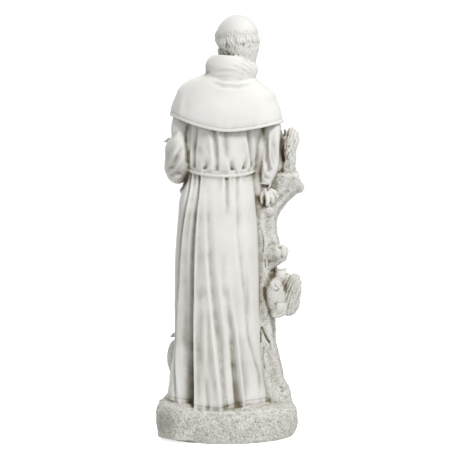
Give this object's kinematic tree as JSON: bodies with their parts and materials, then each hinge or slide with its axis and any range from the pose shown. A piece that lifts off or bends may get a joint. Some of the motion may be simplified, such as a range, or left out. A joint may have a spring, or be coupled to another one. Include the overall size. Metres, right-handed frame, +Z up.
{
  "type": "saint francis statue",
  "caption": "Standing friar in a hooded habit beside a tree trunk with squirrels, a bird and a fawn, on a rocky base; a garden ornament.",
  "frame": {"origin": "centre of the flat underside, on the ground", "axes": "+Z up, the figure faces -Y, its left hand is on +X and the tree on -X"},
  "size_m": [0.2713, 0.2058, 0.7606],
  "materials": {
    "cast_stone": "matt off-white cast stone finish, greyer on the tree and rock"
  },
  "bodies": {
    "root": {"statue": "cast_stone"}
  },
  "joints": []
}
